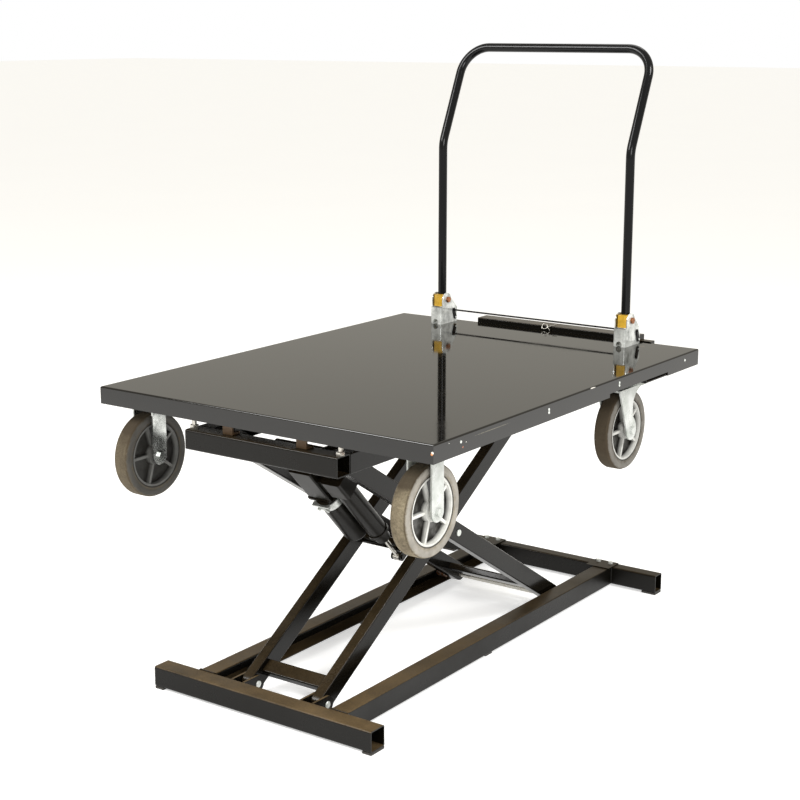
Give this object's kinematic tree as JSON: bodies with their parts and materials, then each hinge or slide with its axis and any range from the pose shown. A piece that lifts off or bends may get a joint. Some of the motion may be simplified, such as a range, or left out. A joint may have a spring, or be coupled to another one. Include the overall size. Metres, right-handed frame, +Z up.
{
  "type": "scissor lift table",
  "caption": "Mobile single-scissor lift table: flat folded-steel deck on large castors, scissor arms and electric actuator on a welded base frame, folding push handle.",
  "frame": {"origin": "centre of the overall footprint, on the floor under the base frame's pads", "axes": "+X across the deck, +Y along the deck towards the push handle, +Z up"},
  "size_m": [1, 1.3995, 1.5785],
  "materials": {
    "frame_black": "gloss black enamel, dusty on its upper faces",
    "arm_black": "gloss black enamel with bright edges",
    "deck_black": "gloss black enamel, scuffed at the corners",
    "handle_black": "gloss black enamel",
    "zinc": "bright zinc plate",
    "bright_steel": "drawn bright steel",
    "rusty_steel": "bare steel with light rust",
    "copper_bolt": "copper-coloured plate",
    "yellow_plastic": "moulded yellow nylon",
    "tan_plastic": "tan",
    "pad_rubber": "moulded rubber",
    "hub_plastic": "moulded grey nylon",
    "tyre_rubber": "solid rubber, dusty tread",
    "actuator_grey": "dark enamel over castings"
  },
  "bodies": {
    "base": {"base_front_tube": "frame_black", "base_rear_tube": "frame_black", "base_rail_right": "frame_black", "base_rail_left": "frame_black", "base_lap_plates": "frame_black", "base_bolts": "zinc", "base_pads": "pad_rubber", "base_pivot_lugs": "frame_black", "base_pivot_pins": "zinc"},
    "inner_arms": {"inner_arm_right": "arm_black", "inner_arm_left": "arm_black", "inner_cross_bars": "arm_black", "actuator_lower_mount": "arm_black", "upper_roller_axle": "bright_steel", "centre_pins": "zinc"},
    "upper_roller_right": {"upper_roller_right": "rusty_steel"},
    "upper_roller_left": {"upper_roller_left": "rusty_steel"},
    "outer_arms": {"outer_arm_right": "arm_black", "outer_arm_left": "arm_black", "outer_cross_bars": "arm_black", "actuator_upper_mount": "arm_black", "lower_roller_axle": "bright_steel"},
    "lower_roller_right": {"lower_roller_right": "rusty_steel"},
    "lower_roller_left": {"lower_roller_left": "rusty_steel"},
    "actuator": {"actuator_head": "actuator_grey", "actuator_tube": "actuator_grey", "actuator_motor": "actuator_grey", "actuator_cover": "actuator_grey", "actuator_fittings": "bright_steel"},
    "push_rod": {"actuator_rod": "bright_steel"},
    "deck": {"deck_panel": "deck_black", "deck_cross_channels": "frame_black", "lift_frame_front_tube": "frame_black", "lift_frame_channels": "frame_black", "lift_frame_rear_tube": "frame_black", "deck_pivot_lugs": "frame_black", "deck_pivot_pins": "zinc", "lift_frame_cleats": "tan_plastic", "lift_frame_studs": "zinc", "deck_rear_bar": "frame_black", "handle_bracket_right": "zinc", "handle_bracket_left": "zinc", "handle_pivot_bolts": "copper_bolt", "bracket_fasteners": "zinc", "front_castor_fork_right": "zinc", "front_castor_fork_left": "zinc", "swivel_plates": "zinc"},
    "handle": {"push_handle": "handle_black", "handle_sockets": "yellow_plastic"},
    "latch": {"handle_latch": "zinc"},
    "front_wheel_right": {"front_wheel_hub_right": "hub_plastic", "front_tyre_right": "tyre_rubber"},
    "front_wheel_left": {"front_wheel_hub_left": "hub_plastic", "front_tyre_left": "tyre_rubber"},
    "rear_fork_right": {"rear_castor_fork_right": "zinc"},
    "rear_fork_left": {"rear_castor_fork_left": "zinc"},
    "rear_wheel_right": {"rear_wheel_hub_right": "hub_plastic", "rear_tyre_right": "tyre_rubber"},
    "rear_wheel_left": {"rear_wheel_hub_left": "hub_plastic", "rear_tyre_left": "tyre_rubber"}
  },
  "joints": [
    {"name": "lift", "type": "hinge", "parent": "base", "child": "inner_arms", "pos_m": [0, -0.588, 0.036], "axis": [1, 0, 0], "range_deg": [-26, 0]},
    {"name": "centre_pivot", "type": "hinge", "parent": "inner_arms", "child": "outer_arms", "pos_m": [0, -0.08811, 0.3475], "axis": [1, 0, 0], "range_deg": [-0.1, 52.1]},
    {"name": "deck_pivot", "type": "hinge", "parent": "outer_arms", "child": "deck", "pos_m": [0, -0.588, 0.659], "axis": [1, 0, 0], "range_deg": [-26.1, 0.1]},
    {"name": "actuator_swing", "type": "hinge", "parent": "outer_arms", "child": "actuator", "pos_m": [0.035, -0.45772, 0.57782], "axis": [1, 0, 0], "range_deg": [-0.1, 7.9]},
    {"name": "push_rod_swing", "type": "hinge", "parent": "inner_arms", "child": "push_rod", "pos_m": [0.035, -0.17639, 0.28306], "axis": [1, 0, 0], "range_deg": [-0.1, 59.9]},
    {"name": "upper_roller_right_spin", "type": "hinge", "parent": "inner_arms", "child": "upper_roller_right", "pos_m": [0.205, 0.41178, 0.659], "axis": [1, 0, 0], "continuous": true},
    {"name": "upper_roller_left_spin", "type": "hinge", "parent": "inner_arms", "child": "upper_roller_left", "pos_m": [-0.205, 0.41178, 0.659], "axis": [1, 0, 0], "continuous": true},
    {"name": "lower_roller_right_spin", "type": "hinge", "parent": "outer_arms", "child": "lower_roller_right", "pos_m": [0.205, 0.4094, 0.03218], "axis": [1, 0, 0], "continuous": true},
    {"name": "lower_roller_left_spin", "type": "hinge", "parent": "outer_arms", "child": "lower_roller_left", "pos_m": [-0.205, 0.4094, 0.03218], "axis": [1, 0, 0], "continuous": true},
    {"name": "handle_fold", "type": "hinge", "parent": "deck", "child": "handle", "pos_m": [0, 0.545, 0.829], "axis": [1, 0, 0], "range_deg": [0, 90]},
    {"name": "latch_release", "type": "hinge", "parent": "deck", "child": "latch", "pos_m": [0, 0.583, 0.771], "axis": [1, 0, 0], "range_deg": [-20, 0]},
    {"name": "front_wheel_right_spin", "type": "hinge", "parent": "deck", "child": "front_wheel_right", "pos_m": [0.42, -0.598, 0.579], "axis": [1, 0, 0], "continuous": true},
    {"name": "rear_castor_right_swivel", "type": "hinge", "parent": "deck", "child": "rear_fork_right", "pos_m": [0.42, 0.37, 0.697], "axis": [0, 0, 1], "continuous": true},
    {"name": "rear_wheel_right_spin", "type": "hinge", "parent": "rear_fork_right", "child": "rear_wheel_right", "pos_m": [0.42, 0.318, 0.579], "axis": [1, 0, 0], "continuous": true},
    {"name": "front_wheel_left_spin", "type": "hinge", "parent": "deck", "child": "front_wheel_left", "pos_m": [-0.42, -0.598, 0.579], "axis": [1, 0, 0], "continuous": true},
    {"name": "rear_castor_left_swivel", "type": "hinge", "parent": "deck", "child": "rear_fork_left", "pos_m": [-0.42, 0.37, 0.697], "axis": [0, 0, 1], "continuous": true},
    {"name": "rear_wheel_left_spin", "type": "hinge", "parent": "rear_fork_left", "child": "rear_wheel_left", "pos_m": [-0.42, 0.318, 0.579], "axis": [1, 0, 0], "continuous": true}
  ],
  "couplings": [
    {"joint": "centre_pivot", "follows": "lift", "ratio": -2},
    {"joint": "deck_pivot", "follows": "lift", "ratio": 1},
    {"joint": "actuator_swing", "follows": "lift", "ratio": -0.3},
    {"joint": "push_rod_swing", "follows": "lift", "ratio": -2.3}
  ]
}
